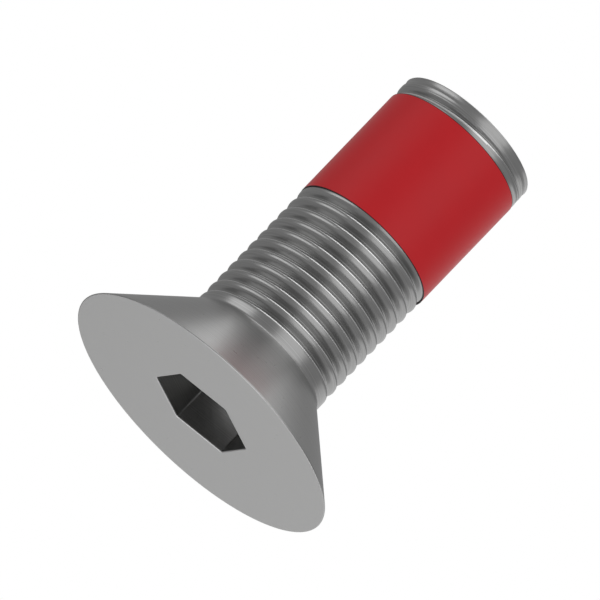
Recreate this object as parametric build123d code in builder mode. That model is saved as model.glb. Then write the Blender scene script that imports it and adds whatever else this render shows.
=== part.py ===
"""Countersunk hexagon socket screw with a fine thread and a locking coating round the thread.

Millimetres, +Z up. The screw stands on the flat face of its head, as such a screw is stood on a bench:
the origin is the centre of that face, and the point of the thread is at the top.
"""

import os
from math import atan, cos, degrees, floor, radians, tan

from build123d import *

# Head
head_diameter = 16.0
cone_angle = 90.0
rim_land = 0.05
neck_radius = 0.2

# Hexagon socket
socket_across_flats = 5.0
socket_depth = 3.5
socket_floor_angle = 120.0
socket_edge_break = 0.06

# Shank and right-hand thread
screw_length = 20.0
thread_diameter = 8.0
thread_pitch = 0.75
flank_angle = 60.0
collar_length = 0.75
runout_turns = 0.6
runin_turns = 0.9
thread_start_angle = -165.0

# Point: a short plain land past the last of the thread
land_length = 0.4
land_step = 0.03
land_edge_break = 0.04

# Locking coating, and the plain seat that stands for the filled thread under it
coating_length = 6.7
coating_to_point = 1.2
coating_over_crest = 0.02
coating_seat_depth = 0.05

# Head and socket levels
head_radius = head_diameter / 2
crest_radius = thread_diameter / 2
neck_level = rim_land + (head_radius - crest_radius) / tan(radians(cone_angle / 2))
socket_apothem = socket_across_flats / 2
socket_floor_height = socket_apothem / tan(radians(socket_floor_angle / 2))

# Thread section: the basic metric triangle with an eighth of the pitch left flat at the crest
crest_flat = thread_pitch / 8
flank_slope = tan(radians(flank_angle / 2))
thread_depth = (thread_pitch - crest_flat) / 2 / flank_slope
root_radius = crest_radius - thread_depth
cutter_clearance = 0.1
cutter_radius = crest_radius + cutter_clearance
cutter_half_width = (thread_depth + cutter_clearance) * flank_slope
thread_start_level = neck_level + collar_length

# The groove fades at both ends: it climbs from the root to just outside the crest as it goes on round
cutter_climb = cutter_radius - root_radius
runout_slope = cutter_climb / (runout_turns * thread_pitch)
runin_slope = cutter_climb / (runin_turns * thread_pitch)
land_level = screw_length - land_length
land_radius = crest_radius - land_step
groove_turns = floor((screw_length - thread_start_level) / thread_pitch - runin_turns)

coating_top = screw_length - coating_to_point
coating_level = coating_top - coating_length
coating_radius = crest_radius + coating_over_crest
seat_radius = root_radius - coating_seat_depth


def shows_past_coating(turn):
    """Whether any of a turn of the groove, counted from the start of full thread, lies clear of the coating."""
    low_level = thread_start_level + turn * thread_pitch - cutter_half_width
    high_level = low_level + thread_pitch + 2 * cutter_half_width
    return low_level < coating_level or high_level > coating_top


def fading_groove(slope, turns, direction):
    """A groove that climbs outwards as it goes up, for direction 1, or down, for direction -1.

    A helix that points down starts on the -X side, and a conical one takes its lead along its slant.
    """
    with BuildPart() as groove:
        with BuildLine() as path:
            Helix(
                thread_pitch / cos(atan(slope)),
                turns * thread_pitch,
                root_radius,
                center=(0, 0, thread_start_level),
                direction=(0, 0, direction),
                cone_angle=degrees(atan(slope)),
            )
        add(groove_section(direction))
        sweep(path=path.wires()[0], is_frenet=True)
    return groove.part


def groove_section(side):
    """The V of the groove where full thread starts, on the +X side for side 1 and on the -X side for side -1."""
    with BuildSketch(Plane.XZ) as section:
        with BuildLine():
            Polyline(
                (side * root_radius, thread_start_level),
                (side * cutter_radius, thread_start_level - cutter_half_width),
                (side * cutter_radius, thread_start_level + cutter_half_width),
                close=True,
            )
        make_face()
    return section.sketch


# One turn of the thread's groove, which is repeated up the shank
with BuildPart() as groove_turn:
    with BuildLine() as turn_path:
        Helix(thread_pitch, thread_pitch, root_radius, center=(0, 0, thread_start_level))
    add(groove_section(1))
    sweep(path=turn_path.wires()[0], is_frenet=True)

groove_runout = fading_groove(runout_slope, runout_turns, -1)
groove_runin = fading_groove(runin_slope, runin_turns, 1)

# The screw is turned about its axis, then the socket and the thread are cut into it
with BuildPart() as screw:
    with BuildSketch(Plane.XZ) as half_section:
        with BuildLine():
            Polyline(
                (0, 0),
                (head_radius, 0),
                (head_radius, rim_land),
                (crest_radius, neck_level),
                (crest_radius, coating_level),
                (seat_radius, coating_level),
                (seat_radius, coating_top),
                (crest_radius, coating_top),
                (crest_radius, land_level),
                (land_radius, land_level),
                (land_radius, screw_length - land_edge_break),
                (land_radius - land_edge_break, screw_length),
                (0, screw_length),
                close=True,
            )
        make_face()
        neck = half_section.vertices().sort_by_distance((crest_radius, neck_level))[0]
        fillet(neck, neck_radius)
    revolve(axis=Axis.Z)

    with BuildSketch(Plane.XY):
        RegularPolygon(socket_apothem, side_count=6, major_radius=False)
    extrude(amount=socket_depth, mode=Mode.SUBTRACT)
    socket_mouth = screw.edges().filter_by(GeomType.LINE).group_by(Axis.Z)[0]
    chamfer(socket_mouth, socket_edge_break)
    with Locations((0, 0, socket_depth)):
        Cone(
            bottom_radius=socket_apothem,
            top_radius=0,
            height=socket_floor_height,
            align=(Align.CENTER, Align.CENTER, Align.MIN),
            mode=Mode.SUBTRACT,
        )

    with Locations(Location((0, 0, 0), (0, 0, thread_start_angle + 180))):
        add(groove_runout, clean=False, mode=Mode.SUBTRACT)
    turn_places = [
        Location((0, 0, turn * thread_pitch), (0, 0, thread_start_angle))
        for turn in range(groove_turns)
        if shows_past_coating(turn)
    ]
    with Locations(turn_places):
        add(groove_turn.part, clean=False, mode=Mode.SUBTRACT)
    with Locations(Location((0, 0, groove_turns * thread_pitch), (0, 0, thread_start_angle))):
        add(groove_runin, clean=False, mode=Mode.SUBTRACT)

# The coating sits all round its seat and stands a little over the crests of the thread
with BuildPart() as locking_coating:
    with BuildSketch(Plane.XY.offset(coating_level)):
        Circle(coating_radius)
        Circle(seat_radius, mode=Mode.SUBTRACT)
    extrude(amount=coating_length)

os.makedirs("parts", exist_ok=True)
screw.part.label = "screw"
export_step(screw.part, "parts/screw.step")
locking_coating.part.label = "locking_coating"
export_step(locking_coating.part, "parts/locking_coating.step")
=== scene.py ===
"""Countersunk hexagon socket screw with a red locking coating, dressed around its CAD frame.

Metres, as in the frame: the origin is the centre of the head's flat face, and +Z runs to the point of
the thread. Every surface is worked out with numpy from a height or a profile point and a share of a turn
round the axis, counted from the angle where full thread starts.
"""

import math

import bmesh
import bpy
import numpy as np
from bpy.props import FloatProperty, FloatVectorProperty, IntProperty, PointerProperty, StringProperty
from mathutils import Matrix, Vector


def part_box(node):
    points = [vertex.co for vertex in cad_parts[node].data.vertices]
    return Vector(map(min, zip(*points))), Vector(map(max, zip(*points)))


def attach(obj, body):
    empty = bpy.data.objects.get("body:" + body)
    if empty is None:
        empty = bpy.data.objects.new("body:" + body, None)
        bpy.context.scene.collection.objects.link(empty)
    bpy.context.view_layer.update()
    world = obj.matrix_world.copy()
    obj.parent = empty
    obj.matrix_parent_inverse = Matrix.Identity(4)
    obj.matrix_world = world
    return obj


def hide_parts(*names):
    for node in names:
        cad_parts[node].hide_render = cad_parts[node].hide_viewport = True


bl_info = {
    "name": "Countersunk Socket Screw",
    "version": (1, 0, 0),
    "blender": (4, 5, 0),
    "location": "3D View > Sidebar > Screw",
    "description": "Builds a countersunk hexagon socket screw with a locking coating around its CAD frame",
    "category": "Add Mesh",
}

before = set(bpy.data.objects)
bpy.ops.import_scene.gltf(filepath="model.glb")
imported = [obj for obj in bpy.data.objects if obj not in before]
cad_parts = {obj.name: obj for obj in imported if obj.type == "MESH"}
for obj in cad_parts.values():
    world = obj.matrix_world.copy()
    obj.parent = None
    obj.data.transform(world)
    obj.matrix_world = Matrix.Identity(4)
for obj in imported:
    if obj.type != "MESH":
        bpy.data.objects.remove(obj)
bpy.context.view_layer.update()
screw_low, screw_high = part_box("screw")
coating_low, coating_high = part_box("locking_coating")

MM = 0.001
COLUMNS = 192
THREAD_ROWS = 20
HEXAGON_SIDES = 6
# Half of the thread's 60 degrees.
FLANK_ANGLE = math.radians(30)
# Distance from a rounding to the row beside it, which keeps the shading of the flat surface flat.
SUPPORT = 0.02 * MM
# Pitches below full thread at which the plain collar ends, clear of the groove's lower edge.
COLLAR_CLEARANCE = 0.6


def linear_colour(hex_code):
    """Linear red, green, blue and alpha of an sRGB colour written as rrggbb."""
    values = np.array([int(hex_code[place:place + 2], 16) for place in (0, 2, 4)]) / 255
    linear = np.where(values <= 0.04045, values / 12.92, ((values + 0.055) / 1.055) ** 2.4)
    return (*linear.tolist(), 1.0)


def length_property(name, description, default):
    """A property that holds a length in metres."""
    return FloatProperty(name=name, description=description, default=default, unit="LENGTH", precision=5)


def colour_property(name, description, hex_code):
    """A property that holds a linear colour."""
    return FloatVectorProperty(
        name=name,
        description=description,
        default=linear_colour(hex_code),
        size=4,
        subtype="COLOR",
        min=0,
        max=1,
    )


class ScrewSizes(bpy.types.PropertyGroup):
    """Sizes of the steel screw. The outer ones come from the frame."""

    head_radius: length_property("Head Radius", "From the axis to the edge of the head", screw_high.x)
    screw_length: length_property("Length", "From the head's flat face to the point", screw_high.z)
    rim_land: length_property("Rim Land", "Height at which the cone would meet the head radius", 0.05 * MM)
    rim_round: length_property("Rim Round", "Radius of the edge between face and cone", 0.04 * MM)
    neck_round: length_property("Neck Round", "Radius between the cone and the shank", 0.2 * MM)
    crest_radius: length_property("Crest Radius", "From the axis to the thread's crests", 4.0 * MM)
    thread_pitch: length_property("Pitch", "Height that one turn of the thread climbs", 0.75 * MM)
    collar_length: length_property("Collar", "From the neck to where full thread starts", 0.75 * MM)
    runout_turns: FloatProperty(
        name="Run-out", description="Turns over which the groove fades below full thread", default=0.6
    )
    runin_turns: FloatProperty(
        name="Run-in", description="Turns over which the groove fades towards the point", default=0.9
    )
    fade_clearance: length_property(
        "Fade Clearance", "How far past the crest a fading groove climbs", 0.1 * MM
    )
    thread_start_angle: FloatProperty(
        name="Thread Start",
        description="Angle from +X where full thread starts",
        default=math.radians(-165),
        subtype="ANGLE",
    )
    crest_flat: length_property("Crest Width", "Height of what the groove leaves at each crest", 0.3 * MM)
    crest_dome: length_property(
        "Crest Dome", "How far the crest falls from its middle to its edges", 0.05 * MM
    )
    crest_round: length_property(
        "Crest Blend", "Radial size of the rounding of the rolled crests", 0.02 * MM
    )
    root_round: length_property("Root Blend", "Radial size of the rounding of the roots", 0.12 * MM)
    land_length: length_property("Land Length", "Height of the plain land at the point", 0.4 * MM)
    land_step: length_property("Land Hollow", "How far the land dips inside the crests", 0.035 * MM)
    land_break: length_property("Land Edge", "Size of the broken edge at the very end", 0.04 * MM)
    socket_flats: length_property(
        "Socket Across Flats", "Distance between opposite walls of the socket", 5.0 * MM
    )
    socket_depth: length_property(
        "Socket Depth", "From the face to the foot of the socket's walls", 3.5 * MM
    )
    socket_corner: length_property("Socket Corner", "Radius in the socket's six corners", 0.12 * MM)
    mouth_round: length_property("Socket Mouth", "Radius of the edge at the socket's mouth", 0.06 * MM)


class CoatingSizes(bpy.types.PropertyGroup):
    """Sizes of the locking coating, all from the frame but its edge."""

    radius: length_property("Radius", "From the axis to the coating's surface", coating_high.x)
    low_level: length_property("Lower End", "Height of the end nearer the head", coating_low.z)
    high_level: length_property("Upper End", "Height of the end nearer the point", coating_high.z)
    edge_round: length_property("Edge Round", "Radius of the coating's two edges", 0.012 * MM)


class ScrewColours(bpy.types.PropertyGroup):
    """Colours of the screw and of the studio round it."""

    steel: colour_property("Steel", "Reflected colour of the bare steel", "C0C0C0")
    steel_shade: colour_property("Steel Shade", "Reflected colour in the lines of rolling", "9A9A99")
    # Painted highlight: a light colour on the crest edges that stands for the thin bright line of reflection
    # along each turn.
    painted_crest_highlight: colour_property("Painted Crest Highlight", "Colour of the crest edges on the point's side", "F4F4F4")
    coating: colour_property("Coating", "Body colour of the locking coating", "E0232B")
    coating_shade: colour_property("Coating Shade", "Colour of the coating where it lies thicker", "D9222A")
    # Painted shade: a dark line where the coating ends against the steel.
    painted_coating_edge_shade: colour_property("Painted Coating Edge Shade", "Dark line where the coating ends", "240B0D")
    floor: colour_property("Floor", "Pale floor under the screw", "E6E6E4")
    backdrop: colour_property("Backdrop", "Plain background behind the screw", "FFFFFF")
    ambient: colour_property("Ambient", "Soft light from all round the studio", "979797")


def smooth_min(first, second, blend):
    """The smaller of two values, with a parabola of the blend's width where they cross."""
    share = np.clip(0.5 + 0.5 * (second - first) / blend, 0, 1)
    return second * (1 - share) + first * share - blend * share * (1 - share)


def smooth_max(first, second, blend):
    """The larger of two values, blended as smooth_min does."""
    return -smooth_min(-first, -second, blend)


def around_columns():
    """Shares of a turn at the grid's columns, from 0 to 1 with both ends."""
    return np.linspace(0, 1, COLUMNS + 1)


def neck_level(sizes):
    """Height at which the 45 degree cone would meet the shank."""
    return sizes.rim_land + sizes.head_radius - sizes.crest_radius


def thread_level(sizes):
    """Height of the groove's root where full thread starts."""
    return neck_level(sizes) + sizes.collar_length


def land_level(sizes):
    """Height at which the plain land at the point starts."""
    return sizes.screw_length - sizes.land_length


def blank_radius(sizes, level):
    """Radius of the shank before threading.

    In words: it is the crest radius up to the land, a hollow arc over the land, and a 45 degree line at the
    end.
    """
    half = sizes.land_length / 2
    from_middle = np.abs(level - (sizes.screw_length - half)) / half
    land = sizes.crest_radius - sizes.land_step * np.maximum(0, 1 - from_middle**2)
    return land - np.maximum(0, level - (sizes.screw_length - sizes.land_break))


def shank_radius(sizes, level, around):
    """Radius of the threaded shank at a height and a share of a turn round the axis.

    In words: the height above the start of thread, in pitches, less the share of a turn, counts the turns
    of the groove. The distance from the nearest whole turn, divided by the tangent of 30 degrees, is how far
    the flank has risen from the root. The blank, domed between two grooves, limits it from above and the
    rounded root from below. Below turn nought and past the last full turn the groove climbs outwards with
    the share of a turn, so it fades.
    """
    flank_slope = math.tan(FLANK_ANGLE)
    depth = (sizes.thread_pitch - sizes.crest_flat) / 2 / flank_slope
    fade = depth + sizes.fade_clearance
    turns_to_point = (sizes.screw_length - thread_level(sizes)) / sizes.thread_pitch
    full_turns = math.floor(turns_to_point - sizes.runin_turns)
    turns = (level - thread_level(sizes)) / sizes.thread_pitch - around
    groove = np.clip(np.round(turns), -1, full_turns)
    climb = np.where(groove < 0, (1 - around) * fade / sizes.runout_turns, 0)
    climb = np.where(groove == full_turns, around * fade / sizes.runin_turns, climb)
    root = sizes.crest_radius - depth + climb
    flank = root + np.abs(turns - groove) * sizes.thread_pitch / flank_slope
    rounded_root = smooth_max(flank, root + sizes.root_round / 2, sizes.root_round)
    from_crest = np.maximum(0, 0.5 - np.abs(turns - groove)) * sizes.thread_pitch
    fullness = np.clip(1 - climb / depth, 0, 1)
    dome = fullness * sizes.crest_dome * np.minimum(1, from_crest / (sizes.crest_flat / 2)) ** 2
    return smooth_min(rounded_root, blank_radius(sizes, level) - dome, sizes.crest_round)


def turned(sizes, radius, level):
    """Grid of points from radii and heights: a row for each profile point, a column for each angle."""
    around = around_columns()
    angle = sizes.thread_start_angle + 2 * math.pi * around
    radius, level = np.broadcast_arrays(np.atleast_2d(radius), np.atleast_2d(level))
    if radius.shape[1] == 1:
        radius = np.repeat(radius, around.size, axis=1)
        level = np.repeat(level, around.size, axis=1)
    return np.stack((radius * np.cos(angle), radius * np.sin(angle), level), axis=-1)


def threaded(sizes, low_level, high_level):
    """Grid of the threaded shank between two heights.

    In words: each row follows the helix at one place on the thread's section, so a column is a turn's share
    round the axis and climbs that share of a pitch. By a sine, rows crowd at the root and near the crest's
    two edges. Heights are held between the two ends, where the rows that lie beyond them fold onto the end's
    ring.
    """
    start, pitch = thread_level(sizes), sizes.thread_pitch
    first = math.floor((low_level - start) / pitch) - 1
    last = math.ceil((high_level - start) / pitch)
    even = np.arange(first * THREAD_ROWS, last * THREAD_ROWS + 1) / THREAD_ROWS
    crowding = 0.7
    crowded_places = 3
    wave = 2 * crowded_places * math.pi
    rows = even - crowding * np.sin(wave * even) / wave
    around = around_columns()
    level = np.clip(start + pitch * (rows[:, None] + around), low_level, high_level)
    return turned(sizes, shank_radius(sizes, level, around), level)


def hexagon(sizes, outset, level):
    """Rows of points round the socket's hexagon, moved outwards by outset and placed at level.

    In words: a sixth of a turn runs from one flat's middle to the next. Its middle quarter follows the
    corner's arc, and the rest goes along the flats at an even rate. The columns are those of the turned
    grids.
    """
    outset, level = np.atleast_1d(outset)[:, None], np.atleast_1d(level)[:, None]
    corner = sizes.socket_corner + outset
    flat_distance = sizes.socket_flats / 2 - sizes.socket_corner
    sixth = 2 * math.pi / HEXAGON_SIDES
    places = (sizes.thread_start_angle + 2 * math.pi * around_columns()) / sixth
    nearest = np.round(places)
    offset = places - nearest
    arc_share = 1 / 8
    side = np.sign(offset)
    arc_angle = nearest * sixth + np.clip(offset / arc_share, -1, 1) * sixth / 2
    past_arc = np.clip(np.abs(offset) - arc_share, 0, None) / (0.5 - arc_share)
    along = past_arc * flat_distance * math.tan(sixth / 2)
    flat_angle = nearest * sixth + side * 2 * sixth
    centre = flat_distance / math.cos(sixth / 2)
    x = centre * np.cos(nearest * sixth) + corner * np.cos(arc_angle) + along * np.cos(flat_angle)
    y = centre * np.sin(nearest * sixth) + corner * np.sin(arc_angle) + along * np.sin(flat_angle)
    return np.stack((x, y, level + 0 * x), axis=-1)


def blended(first_row, last_row, shares):
    """Grid of rows that lie the given shares of the way from one row of points to another."""
    shares = np.asarray(shares)[:, None, None]
    return first_row * (1 - shares) + last_row * shares


def socket_and_face(sizes):
    """Grids of the socket's floor, walls and mouth and of the head's flat face, out to the rim.

    In words: the floor is a cone of 120 degrees, the walls are the rounded hexagon carried down, the mouth
    is a quarter circle carried round it, and the face blends the hexagon into the rim's circle.
    """
    apothem, depth, mouth = sizes.socket_flats / 2, sizes.socket_depth, sizes.mouth_round
    half_floor_angle = math.radians(60)
    floor_radius = np.linspace(0, apothem, 7)
    floor_level = depth + (apothem - floor_radius) / math.tan(half_floor_angle)
    floor = turned(sizes, floor_radius[:, None], floor_level[:, None])
    wall_margin = 0.2 * MM
    plain_levels = np.linspace(depth - wall_margin, mouth + wall_margin, 5)
    wall_levels = np.concatenate(([depth, depth - SUPPORT], plain_levels, [mouth + SUPPORT]))
    walls = hexagon(sizes, 0 * wall_levels, wall_levels)
    turn = np.linspace(0, math.pi / 2, 6)
    lip = hexagon(sizes, mouth * (1 - np.cos(turn)), mouth * (1 - np.sin(turn)))
    edge = hexagon(sizes, mouth + SUPPORT, 0.0)
    rim = turned(sizes, rim_centre(sizes) - SUPPORT, 0.0)
    face = blended(edge[0], rim[0], (0, 0.3, 0.6, 1))
    return [floor, walls, lip, face]


def rim_centre(sizes):
    """Radius at which the face ends and the rim's rounding starts, tangent to the face and to the cone."""
    return sizes.head_radius + sizes.rim_land - sizes.rim_round * (1 + math.sqrt(2))


def head_and_collar(sizes, top_level):
    """Grid of the rim, the cone, the neck and the plain collar, turned from their profile.

    In words: the rim is an arc from the face's normal to the cone's, the cone a straight line at 45
    degrees, the neck an arc curved the other way, tangent to the cone and to the shank, and the collar a
    straight line.
    """
    rim_turn = np.linspace(-math.pi / 2, math.pi / 4, 7)
    rim_radius = rim_centre(sizes) + sizes.rim_round * np.cos(rim_turn)
    rim_level = sizes.rim_round * (1 + np.sin(rim_turn))
    neck_turn = np.linspace(math.pi / 4, 0, 6)
    neck_radius = sizes.crest_radius + sizes.neck_round * (1 - np.cos(neck_turn))
    neck_centre = neck_level(sizes) + sizes.neck_round * (math.sqrt(2) - 1)
    neck_levels = neck_centre - sizes.neck_round * np.sin(neck_turn)
    shares = np.array((0.005, 0.25, 0.5, 0.75, 0.99))
    cone_radius = rim_radius[-1] + (neck_radius[0] - rim_radius[-1]) * shares
    cone_level = rim_level[-1] + (neck_levels[0] - rim_level[-1]) * shares
    collar_levels = np.array((neck_centre + SUPPORT, top_level))
    radius = np.concatenate((rim_radius, cone_radius, neck_radius, 0 * collar_levels + sizes.crest_radius))
    level = np.concatenate((rim_level, cone_level, neck_levels, collar_levels))
    return turned(sizes, radius[:, None], level[:, None])


def point_end(sizes, low_level):
    """Grids of the hollow land at the point and of the flat end.

    In words: the shank's radius is read on level rings, close together where the hollow starts and at the
    broken edge, and the end shrinks the last ring onto the axis.
    """
    start_level, end_level = land_level(sizes), sizes.screw_length
    hair = 0.001 * MM
    hollow = np.linspace(start_level + SUPPORT, end_level - 1.5 * sizes.land_break, 10)
    edge = end_level - sizes.land_break * np.array((1.05, 1, 0.5, 0))
    levels = np.concatenate(([low_level, start_level - hair, start_level + hair], hollow, edge))[:, None]
    land = turned(sizes, shank_radius(sizes, levels, around_columns()), levels)
    axis_point = np.array((0, 0, end_level))
    end = blended(land[-1], axis_point, (0.004, 0.1, 0.5, 1))
    return [land, end]


def faces_of(rows, columns):
    """Quads between neighbouring points of a grid whose points are numbered row by row."""
    number = np.arange(rows * columns).reshape(rows, columns)
    corners = (number[:-1, :-1], number[:-1, 1:], number[1:, 1:], number[1:, :-1])
    return np.stack(corners, axis=-1).reshape(-1, 4)


def make_piece(name, grids, closed=False):
    """One closed, smooth mesh object from grids that follow each other row by row.

    In words: neighbouring rows and columns are joined by quads, points that fall together merge, and a
    closed piece joins its last row to its first.
    """
    if closed:
        grids = grids + [grids[0][:1]]
    rows = np.concatenate(grids)
    faces = faces_of(rows.shape[0], rows.shape[1])
    merge_distance = 0.0001 * MM
    mesh = bpy.data.meshes.new(name)
    mesh.from_pydata(rows.reshape(-1, 3).tolist(), [], faces.tolist())
    cleaner = bmesh.new()
    cleaner.from_mesh(mesh)
    bmesh.ops.remove_doubles(cleaner, verts=cleaner.verts, dist=merge_distance)
    cleaner.to_mesh(mesh)
    cleaner.free()
    mesh.shade_smooth()
    piece = bpy.data.objects.new(name, mesh)
    bpy.context.scene.collection.objects.link(piece)
    return piece


def add_node(tree, kind, settings=None, links=None, **attributes):
    """Adds a shader node with its attributes, its input values and the sockets that feed its inputs."""
    node = tree.nodes.new(kind)
    for attribute, value in attributes.items():
        setattr(node, attribute, value)
    for socket, value in (settings or {}).items():
        node.inputs[socket].default_value = value
    for socket, source in (links or {}).items():
        tree.links.new(source, node.inputs[socket])
    return node


def new_material(name):
    """An empty node material and its tree."""
    material = bpy.data.materials.new(name)
    material.use_nodes = True
    material.node_tree.nodes.clear()
    return material, material.node_tree


def rolled_steel(colours, sizes):
    """Alloy steel, cold headed and thread rolled, then tumbled: a satin metal with soft reflections.

    The grain of 0.05 mm and the tumbling marks of 0.4 mm break the reflections slightly. Lines 0.06 mm apart
    round the axis give the eye the fine hatching along the thread. The crest edges on the point's side carry
    a painted highlight, a lighter colour that stands for the thin bright line of reflection along each turn.
    """
    mark_size = 0.4 * MM
    grain_size = 0.05 * MM
    line_size = 0.06 * MM
    edge_reach = 0.02 * MM
    least_tilt = 0.1
    material, tree = new_material("steel_cold_headed_and_rolled")
    place = add_node(tree, "ShaderNodeTexCoord").outputs["Object"]
    marks = add_node(
        tree,
        "ShaderNodeTexNoise",
        {"Scale": 1 / mark_size, "Detail": 3.0, "Roughness": 0.6},
        {"Vector": place},
    ).outputs["Fac"]
    grain = add_node(
        tree,
        "ShaderNodeTexNoise",
        {"Scale": 1 / grain_size, "Detail": 2.0, "Roughness": 0.5},
        {"Vector": place},
    ).outputs["Fac"]
    height = add_node(tree, "ShaderNodeSeparateXYZ", None, {"Vector": place}).outputs["Z"]
    lines = add_node(
        tree,
        "ShaderNodeTexNoise",
        {"Scale": 1 / line_size, "Detail": 2.0, "Roughness": 0.6},
        {"W": height},
        noise_dimensions="1D",
    ).outputs["Fac"]
    tint = add_node(
        tree,
        "ShaderNodeMix",
        {"A": colours.steel_shade, "B": colours.steel},
        {"Factor": lines},
        data_type="RGBA",
    )
    flat_place = add_node(
        tree, "ShaderNodeVectorMath", {1: (1, 1, 0)}, {0: place}, operation="MULTIPLY"
    ).outputs["Vector"]
    radius = add_node(
        tree, "ShaderNodeVectorMath", None, {0: flat_place}, operation="LENGTH"
    ).outputs["Value"]
    # Painted highlight: the crest edges inside the thread whose normals face the point take the light crest
    # colour.
    at_edge = add_node(
        tree,
        "ShaderNodeMath",
        {1: sizes.crest_radius - sizes.crest_dome, 2: edge_reach},
        {0: radius},
        operation="COMPARE",
    ).outputs["Value"]
    middle = (neck_level(sizes) + land_level(sizes)) / 2
    half = (land_level(sizes) - neck_level(sizes)) / 2 - sizes.neck_round
    in_thread = add_node(
        tree, "ShaderNodeMath", {1: middle, 2: half}, {0: height}, operation="COMPARE"
    ).outputs["Value"]
    normal = add_node(tree, "ShaderNodeNewGeometry").outputs["Normal"]
    tilt = add_node(tree, "ShaderNodeSeparateXYZ", None, {"Vector": normal}).outputs["Z"]
    to_point = add_node(
        tree, "ShaderNodeMath", {1: least_tilt}, {0: tilt}, operation="GREATER_THAN"
    ).outputs["Value"]
    edge_in_thread = add_node(
        tree, "ShaderNodeMath", None, {0: at_edge, 1: in_thread}, operation="MULTIPLY"
    ).outputs["Value"]
    painted_highlight_mask = add_node(
        tree, "ShaderNodeMath", None, {0: edge_in_thread, 1: to_point}, operation="MULTIPLY"
    ).outputs["Value"]
    body = add_node(
        tree,
        "ShaderNodeMix",
        {"B": colours.painted_crest_highlight},
        {"Factor": painted_highlight_mask, "A": tint.outputs["Result"]},
        data_type="RGBA",
    )
    roughness = add_node(
        tree, "ShaderNodeMapRange", {"To Min": 0.26, "To Max": 0.31}, {"Value": marks}
    ).outputs["Result"]
    bump = add_node(
        tree, "ShaderNodeBump", {"Strength": 0.08, "Distance": 0.002 * MM}, {"Height": grain}
    ).outputs["Normal"]
    shader = add_node(
        tree,
        "ShaderNodeBsdfPrincipled",
        {"Metallic": 1.0},
        {"Base Color": body.outputs["Result"], "Roughness": roughness, "Normal": bump},
    )
    add_node(tree, "ShaderNodeOutputMaterial", None, {"Surface": shader.outputs["BSDF"]})
    return material


def dipped_coating(colours, coating):
    """Thread-locking acrylic, dipped and dried: a smooth satin red skin, a little uneven over the thread.

    The flow marks are 1.5 mm, two turns of the thread. A dark line about 0.04 mm wide at each end is painted
    shade: it gives the eye the thin, shaded border between red and steel.
    """
    flow_size = 1.5 * MM
    line_start = 0.042 * MM
    line_full = 0.028 * MM
    material, tree = new_material("acrylic_locking_coating_dipped")
    place = add_node(tree, "ShaderNodeTexCoord").outputs["Object"]
    flow = add_node(
        tree,
        "ShaderNodeTexNoise",
        {"Scale": 1 / flow_size, "Detail": 2.0, "Roughness": 0.5},
        {"Vector": place},
    ).outputs["Fac"]
    tint = add_node(
        tree,
        "ShaderNodeMix",
        {"A": colours.coating_shade, "B": colours.coating},
        {"Factor": flow},
        data_type="RGBA",
    )
    roughness = add_node(
        tree, "ShaderNodeMapRange", {"To Min": 0.42, "To Max": 0.5}, {"Value": flow}
    ).outputs["Result"]
    height = add_node(tree, "ShaderNodeSeparateXYZ", None, {"Vector": place}).outputs["Z"]
    middle = (coating.low_level + coating.high_level) / 2
    half = (coating.high_level - coating.low_level) / 2
    above_middle = add_node(
        tree, "ShaderNodeMath", {1: middle}, {0: height}, operation="SUBTRACT"
    ).outputs["Value"]
    from_middle = add_node(
        tree, "ShaderNodeMath", None, {0: above_middle}, operation="ABSOLUTE"
    ).outputs["Value"]
    # Painted shade: the colour darkens to the edge shade within about 0.04 mm of each end.
    edge = add_node(
        tree,
        "ShaderNodeMapRange",
        {"From Min": half - line_start, "From Max": half - line_full},
        {"Value": from_middle},
    ).outputs["Result"]
    body = add_node(
        tree,
        "ShaderNodeMix",
        {"B": colours.painted_coating_edge_shade},
        {"Factor": edge, "A": tint.outputs["Result"]},
        data_type="RGBA",
    )
    shader = add_node(
        tree,
        "ShaderNodeBsdfPrincipled",
        {"IOR": 1.49, "Specular IOR Level": 0.32, "Sheen Weight": 0.2, "Sheen Roughness": 0.3},
        {"Base Color": body.outputs["Result"], "Roughness": roughness},
    )
    add_node(tree, "ShaderNodeOutputMaterial", None, {"Surface": shader.outputs["BSDF"]})
    return material


def studio_floor(colours):
    """Matt paper floor. It shows from above only: the photograph looks at the head's face from below."""
    material, tree = new_material("paper_floor_matt")
    side = add_node(tree, "ShaderNodeNewGeometry").outputs["Backfacing"]
    paper = add_node(tree, "ShaderNodeBsdfDiffuse", {"Color": colours.floor}).outputs["BSDF"]
    clear = add_node(tree, "ShaderNodeBsdfTransparent").outputs["BSDF"]
    mix = add_node(tree, "ShaderNodeMixShader", None, {0: side, 1: paper, 2: clear}).outputs["Shader"]
    add_node(tree, "ShaderNodeOutputMaterial", None, {"Surface": mix})
    return material


def dress_node(piece, node, material):
    """Gives a new piece its material and its place in the frame, and its CAD node the same material."""
    piece.data.materials.append(material)
    cad_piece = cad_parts[node]
    cad_piece.data.materials.clear()
    cad_piece.data.materials.append(material)
    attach(piece, "root")
    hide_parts(node)


class SCREW_OT_steel_screw(bpy.types.Operator):
    """Make the steel screw: head, socket, neck, thread and point as one closed surface"""

    bl_idname = "screw_kit.steel_screw"
    bl_label = "Steel Screw"

    def execute(self, context):
        sizes = context.scene.screw_sizes
        collar_top = thread_level(sizes) - COLLAR_CLEARANCE * sizes.thread_pitch
        land_foot = land_level(sizes) - SUPPORT
        grids = socket_and_face(sizes)
        grids.append(head_and_collar(sizes, collar_top))
        grids.append(threaded(sizes, collar_top, land_foot))
        grids.extend(point_end(sizes, land_foot))
        piece = make_piece("steel_screw", grids)
        dress_node(piece, "screw", rolled_steel(context.scene.screw_colours, sizes))
        return {"FINISHED"}


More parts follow.
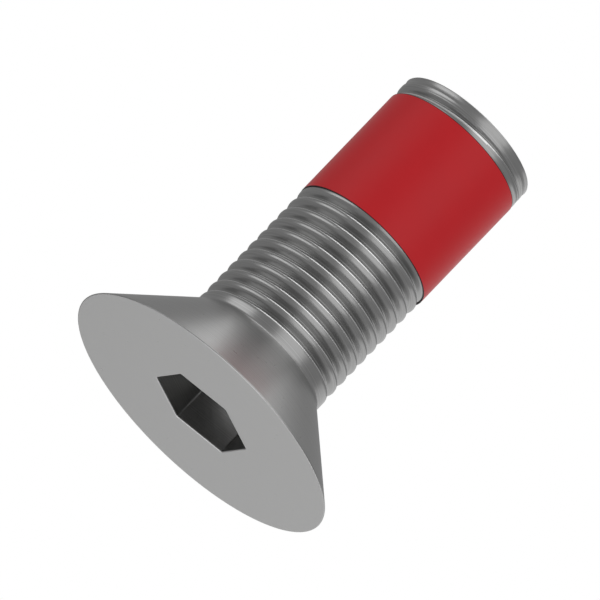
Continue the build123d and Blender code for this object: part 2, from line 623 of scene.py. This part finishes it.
class SCREW_OT_locking_coating(bpy.types.Operator):
    """Make the locking coating: a smooth skin outside that fills the thread inside"""

    bl_idname = "screw_kit.locking_coating"
    bl_label = "Locking Coating"

    def execute(self, context):
        sizes = context.scene.screw_sizes
        coating = context.scene.coating_sizes
        edge = coating.edge_round
        turn = np.linspace(-math.pi / 2, 0, 4)
        inner = threaded(sizes, coating.low_level, coating.high_level)[::-1]
        edge_radius = coating.radius - edge + edge * np.cos(turn)
        low_level = coating.low_level + edge * (1 + np.sin(turn))
        high_level = coating.low_level + coating.high_level - low_level[::-1]
        skin_level = np.linspace(coating.low_level + 2 * edge, coating.high_level - 2 * edge, 8)
        radius = np.concatenate((edge_radius, 0 * skin_level + coating.radius, edge_radius[::-1]))
        level = np.concatenate((low_level, skin_level, high_level))
        outer = turned(sizes, radius[:, None], level[:, None])
        piece = make_piece("red_locking_coating", [inner, outer], closed=True)
        dress_node(piece, "locking_coating", dipped_coating(context.scene.screw_colours, coating))
        return {"FINISHED"}


class StageSizes(bpy.types.PropertyGroup):
    """Camera and studio, set out from the photograph's 600 pixel frame."""

    camera_azimuth: FloatProperty(
        name="Camera Azimuth",
        description="Angle round the screw from -Y to the side that faces the camera",
        default=math.radians(15),
        subtype="ANGLE",
    )
    camera_elevation: FloatProperty(
        name="Camera Elevation",
        description="Angle of the camera above the head's face, negative below it",
        default=math.radians(-19.69),
        subtype="ANGLE",
    )
    axis_slope: FloatProperty(
        name="Axis Slope",
        description="Angle of the screw's axis in the picture, from its lower edge",
        default=math.radians(46.15),
        subtype="ANGLE",
    )
    head_pixel: FloatVectorProperty(
        name="Head Centre", description="Pixel of the head face's centre", default=(200.95, 413.14), size=2
    )
    picture_size: IntProperty(name="Picture Size", description="Side of the picture in pixels", default=600)
    pixels_per_mm: FloatProperty(
        name="Pixels per Millimetre", description="Scale of the picture across the view", default=20.36
    )
    camera_distance: length_property("Camera Distance", "From the screw to the camera", 150 * MM)
    floor_side: length_property("Floor Side", "Side of the floor", 1200 * MM)
    floor_gap: length_property("Floor Gap", "Height of the head's face over the floor", 0.01 * MM)
    panel_distance: length_property("Panel Distance", "From the screw to the light panels", 600 * MM)


def camera_axes(stage):
    """Right, up and back directions of the camera.

    In words: back points from the screw to the camera. The screw's axis, seen square to the view, makes the
    axis slope with the picture's right-hand direction.
    """
    azimuth, elevation = stage.camera_azimuth, stage.camera_elevation
    back = Vector(
        (
            math.sin(azimuth) * math.cos(elevation),
            -math.cos(azimuth) * math.cos(elevation),
            math.sin(elevation),
        )
    )
    axis_in_view = (Vector((0, 0, 1)) - back * back.z).normalized()
    across = axis_in_view.cross(back)
    right = math.cos(stage.axis_slope) * axis_in_view + math.sin(stage.axis_slope) * across
    up = math.sin(stage.axis_slope) * axis_in_view - math.cos(stage.axis_slope) * across
    return right, up, back


def add_camera(stage):
    """Parallel camera at the photograph's angle, framed so that the head's centre falls on its pixel."""
    right, up, back = camera_axes(stage)
    middle = stage.picture_size / 2
    metres_per_pixel = MM / stage.pixels_per_mm
    aim = ((middle - stage.head_pixel[0]) * right + (stage.head_pixel[1] - middle) * up) * metres_per_pixel
    data = bpy.data.cameras.new("parallel_camera")
    data.type = "ORTHO"
    data.ortho_scale = stage.picture_size * metres_per_pixel
    data.clip_start = 10 * MM
    data.clip_end = 2.0
    camera = bpy.data.objects.new("parallel_camera", data)
    rotation = Matrix((right, up, back)).transposed().to_4x4()
    camera.matrix_world = Matrix.Translation(aim + back * stage.camera_distance) @ rotation
    bpy.context.scene.collection.objects.link(camera)
    bpy.context.scene.camera = camera


def add_panel(stage, name, turn, spread, lowest, highest, brightness):
    """A soft light panel that faces the middle of the screw.

    In degrees, turn is its direction round the screw, counted from the side nearest the camera, spread is
    half the angle that it takes up across, and lowest and highest are the heights of its lower and upper
    edges. A white surface that sees nothing but a panel of brightness one looks white.
    """
    azimuth = stage.camera_azimuth - math.pi / 2 + math.radians(turn)
    rise = math.radians((lowest + highest) / 2)
    level_reach = math.cos(rise)
    direction = Vector((math.cos(azimuth) * level_reach, math.sin(azimuth) * level_reach, math.sin(rise)))
    data = bpy.data.lights.new(name, "AREA")
    data.shape = "RECTANGLE"
    data.size = 2 * stage.panel_distance * math.tan(math.radians(spread))
    data.size_y = 2 * stage.panel_distance * math.tan(math.radians((highest - lowest) / 2))
    data.energy = brightness * math.pi * data.size * data.size_y
    panel = bpy.data.objects.new(name, data)
    panel.location = direction * stage.panel_distance + Vector((0, 0, screw_high.z / 2))
    panel.rotation_euler = direction.to_track_quat("Z", "Y").to_euler()
    panel.visible_camera = False
    bpy.context.scene.collection.objects.link(panel)


def add_floor(stage, colours):
    """Square pale floor just under the head's face. It takes shadows and gives none."""
    half = stage.floor_side / 2
    corners = np.array(((-half, -half), (half, -half), (half, half), (-half, half)))
    points = np.column_stack((corners, np.full(4, -stage.floor_gap)))
    mesh = bpy.data.meshes.new("paper_floor")
    mesh.from_pydata(points.tolist(), [], [(0, 1, 2, 3)])
    mesh.materials.append(studio_floor(colours))
    floor = bpy.data.objects.new("paper_floor", mesh)
    floor.visible_shadow = False
    floor.visible_diffuse = False
    floor.visible_glossy = False
    floor.visible_transmission = False
    bpy.context.scene.collection.objects.link(floor)


def add_world(colours):
    """Plain studio round the screw: the backdrop where the camera looks, a soft grey everywhere else."""
    world = bpy.data.worlds.new("plain_studio")
    world.use_nodes = True
    tree = world.node_tree
    tree.nodes.clear()
    seen = add_node(tree, "ShaderNodeLightPath").outputs["Is Camera Ray"]
    soft = add_node(tree, "ShaderNodeBackground", {"Color": colours.ambient}).outputs["Background"]
    plain = add_node(tree, "ShaderNodeBackground", {"Color": colours.backdrop}).outputs["Background"]
    mix = add_node(tree, "ShaderNodeMixShader", None, {0: seen, 1: soft, 2: plain}).outputs["Shader"]
    add_node(tree, "ShaderNodeOutputWorld", None, {"Surface": mix})
    bpy.context.scene.world = world


class SCREW_OT_stage(bpy.types.Operator):
    """Set out the camera, the soft light panels, the floor and the plain backdrop"""

    bl_idname = "screw_kit.stage"
    bl_label = "Stage"

    def execute(self, context):
        stage = context.scene.stage_sizes
        colours = context.scene.screw_colours
        add_camera(stage)
        add_floor(stage, colours)
        add_world(colours)
        add_panel(stage, "key_panel", turn=26, spread=25, lowest=-37, highest=61, brightness=0.62)
        add_panel(stage, "left_panel", turn=292, spread=22, lowest=-6, highest=27, brightness=0.84)
        add_panel(stage, "right_panel", turn=143, spread=38, lowest=-29, highest=23, brightness=0.47)
        add_panel(stage, "rear_panel", turn=171, spread=22, lowest=-72, highest=-31, brightness=1.25)
        add_panel(stage, "top_panel", turn=0, spread=23, lowest=67, highest=113, brightness=0.95)
        add_panel(stage, "under_panel", turn=0, spread=16, lowest=-106, highest=-74, brightness=2.1)
        context.scene.view_settings.view_transform = "Standard"
        return {"FINISHED"}


class SCREW_PT_panel(bpy.types.Panel):
    """Lists what the screw is made of"""

    bl_idname = "SCREW_PT_panel"
    bl_label = "Countersunk Socket Screw"
    bl_space_type = "VIEW_3D"
    bl_region_type = "UI"
    bl_category = "Screw"

    def draw(self, context):
        layout = self.layout
        for operator in OPERATORS:
            layout.operator(operator.bl_idname)
        for group_name in PROPERTY_GROUPS:
            group = getattr(context.scene, group_name)
            for property_name in group.__annotations__:
                layout.prop(group, property_name)


PROPERTY_GROUPS = {
    "screw_sizes": ScrewSizes,
    "coating_sizes": CoatingSizes,
    "screw_colours": ScrewColours,
    "stage_sizes": StageSizes,
}
OPERATORS = (SCREW_OT_steel_screw, SCREW_OT_locking_coating, SCREW_OT_stage)
CLASSES = (*PROPERTY_GROUPS.values(), *OPERATORS, SCREW_PT_panel)


def register():
    """Makes the property groups, the operators and the panel known to Blender."""
    for item in CLASSES:
        bpy.utils.register_class(item)
    for name, group in PROPERTY_GROUPS.items():
        setattr(bpy.types.Scene, name, PointerProperty(type=group))


def unregister():
    """Takes away what register made known."""
    for name in PROPERTY_GROUPS:
        delattr(bpy.types.Scene, name)
    for item in reversed(CLASSES):
        bpy.utils.unregister_class(item)


def main():
    register()
    bpy.ops.screw_kit.steel_screw()
    bpy.ops.screw_kit.locking_coating()
    bpy.ops.screw_kit.stage()


if __name__ == "__main__":
    main()
